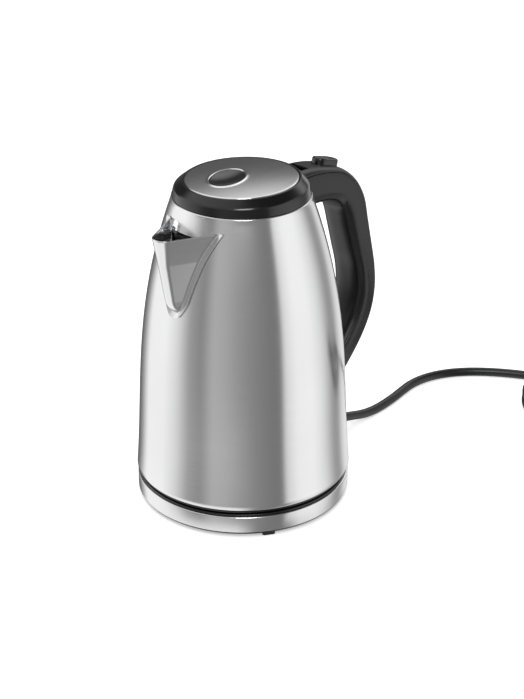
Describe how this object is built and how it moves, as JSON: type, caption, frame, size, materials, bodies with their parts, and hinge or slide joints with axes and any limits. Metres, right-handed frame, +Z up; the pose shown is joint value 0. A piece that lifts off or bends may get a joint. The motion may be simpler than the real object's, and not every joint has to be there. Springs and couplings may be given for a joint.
{
  "type": "electric kettle",
  "caption": "Cordless steel kettle with a hinged lid, spout and loop handle, on a round power base with mains cord and plug.",
  "frame": {"origin": "on the kettle's vertical axis, at the surface that the base's feet stand on", "axes": "+Z up, -X towards the spout, +X towards the handle, Y across; the kettle is symmetrical about the XZ plane"},
  "size_m": [0.3998, 0.2836, 0.2402],
  "materials": {
    "brushed_steel": "vertically brushed stainless steel",
    "disc_steel": "brushed stainless steel disc",
    "plain_steel": "plain steel, satin",
    "aluminium": "die-cast, satin",
    "copper": "copper alloy, plain",
    "base_plastic": "moulded, semi-gloss black",
    "black_plastic": "moulded, fine grain black",
    "handle_black": "moulded, soft satin black",
    "grip_black": "soft-touch black",
    "lid_black": "polished black",
    "cap_black": "polished dark grey",
    "button_black": "polished black",
    "grey_plastic": "moulded grey nylon",
    "rubber_feet": "matt black rubber",
    "silicone": "translucent silicone",
    "cord_black": "black PVC cord sheath",
    "plug_black": "moulded black plug",
    "wire_insulation": "wire insulation, brown, green and blue"
  },
  "bodies": {
    "base": {"base_bottom": "base_plastic", "base_steel_ring": "brushed_steel", "base_cover": "base_plastic", "base_feet": "rubber_feet", "base_screws": "plain_steel", "base_connector": "base_plastic", "base_contacts": "copper", "base_wires": "wire_insulation", "strain_relief": "cord_black", "mains_cord": "cord_black", "cord_coil": "cord_black", "cord_tail": "cord_black", "plug_body": "plug_black", "plug_pins": "plain_steel", "plug_earth_clips": "plain_steel"},
    "coupler": {"appliance_connector": "grey_plastic", "connector_pin": "copper", "connector_rings": "copper"},
    "kettle": {"body_shell": "brushed_steel", "spout": "brushed_steel", "lower_collar": "black_plastic", "underside_cover": "black_plastic", "heating_plate": "plain_steel", "heat_spreader": "aluminium", "heating_element": "aluminium", "plate_seal": "silicone", "thermostat_control": "grey_plastic", "bimetal_disc": "copper", "switch_housing": "handle_black", "switch_pin": "plain_steel", "lid_seat": "black_plastic", "handle_shell": "handle_black", "handle_cover": "handle_black", "grip_insert": "grip_black", "handle_screws": "plain_steel", "hinge_bracket": "grey_plastic", "hinge_pin": "plain_steel", "hinge_spring": "plain_steel", "button_spring": "plain_steel", "button_carrier": "grey_plastic", "latch_pin": "plain_steel", "steam_tube": "silicone"},
    "lid": {"lid_ring": "lid_black", "lid_disc": "disc_steel", "lid_cap": "cap_black", "lid_inner": "black_plastic", "lid_seal": "silicone", "lid_hinge_arm": "handle_black", "lid_screws": "plain_steel"},
    "lid_button": {"lid_button": "button_black"},
    "latch_lever": {"latch_lever": "grey_plastic"},
    "switch_lever": {"switch_lever": "handle_black"},
    "spout_filter": {"filter_frame": "black_plastic", "filter_mesh": "plain_steel"}
  },
  "joints": [
    {"name": "kettle_lift", "type": "slide", "parent": "base", "child": "coupler", "axis": [0, 0, 1], "range_m": [0, 0.12]},
    {"name": "kettle_swivel", "type": "hinge", "parent": "coupler", "child": "kettle", "pos_m": [0, 0, 0.03], "axis": [0, 0, 1], "continuous": true},
    {"name": "lid_hinge", "type": "hinge", "parent": "kettle", "child": "lid", "pos_m": [0.054, 0, 0.2235], "axis": [0, 1, 0], "range_deg": [0, 80]},
    {"name": "button_press", "type": "slide", "parent": "kettle", "child": "lid_button", "axis": [-0.2588, 0, -0.9659], "range_m": [0, 0.003], "stiffness_N_per_m": 600, "springref_m": -0.001, "deforming": ["button_spring"]},
    {"name": "latch_turn", "type": "hinge", "parent": "kettle", "child": "latch_lever", "pos_m": [0.0645, 0, 0.213], "axis": [0, 1, 0], "range_deg": [0, 16]},
    {"name": "switch_rock", "type": "hinge", "parent": "kettle", "child": "switch_lever", "pos_m": [0.06, 0, 0.031], "axis": [0, 1, 0], "range_deg": [0, 8]},
    {"name": "filter_pull", "type": "slide", "parent": "kettle", "child": "spout_filter", "axis": [1, 0, 0], "range_m": [0, 0.03]}
  ],
  "couplings": [
    {"joint": "latch_turn", "follows": "button_press", "rad_per_m": 92.502}
  ]
}
